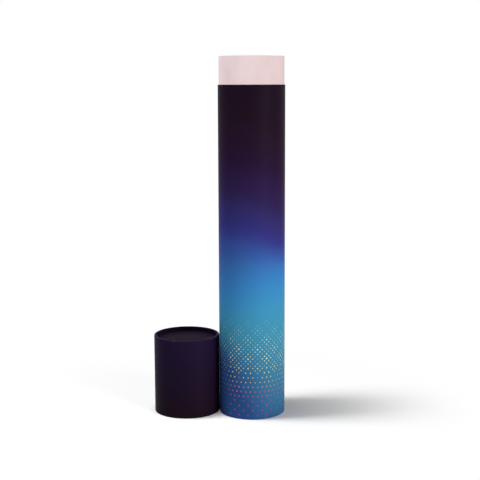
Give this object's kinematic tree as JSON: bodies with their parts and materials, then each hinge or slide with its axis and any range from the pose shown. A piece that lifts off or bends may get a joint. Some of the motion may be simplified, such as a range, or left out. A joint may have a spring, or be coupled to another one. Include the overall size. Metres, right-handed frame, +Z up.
{
  "type": "shipping tube",
  "caption": "Round paper shipping tube with a printed body, a white neck over which the lid slides, a rolled foot, and its loose lid standing beside it.",
  "frame": {"origin": "on the table, in the middle of the rectangle that the tube and its lid cover", "axes": "+Z up along the tube, +X from the lid to the tube, the picture's camera looks along +Y"},
  "size_m": [0.1442, 0.076, 0.388],
  "materials": {
    "body_print": "offset print under matt film, plum to blue",
    "lid_print": "offset print under matt film, dark plum",
    "label_paper": "dyed dark paper",
    "neck_paper": "uncoated, warm white",
    "lining_paper": "uncoated, white",
    "white_board": "white-lined board",
    "grey_board": "raw wound board",
    "foil": "hot-stamped gold foil"
  },
  "bodies": {
    "base": {"base_wrap": "body_print", "base_outer_ply": "grey_board", "base_inner_ply": "grey_board", "foot_disc": "grey_board", "foot_label": "label_paper", "floor_liner": "lining_paper", "neck_wrap": "neck_paper", "neck_outer_ply": "grey_board", "neck_inner_ply": "grey_board", "neck_lining": "lining_paper"},
    "lid": {"lid_wrap": "lid_print", "lid_outer_ply": "grey_board", "lid_inner_ply": "white_board", "lid_disc": "grey_board", "lid_label": "label_paper", "ceiling_liner": "lining_paper"}
  },
  "joints": [
    {"name": "lid_lift", "type": "slide", "parent": "base", "child": "lid", "axis": [0, 0, 1], "range_m": [0, 0.398]}
  ]
}
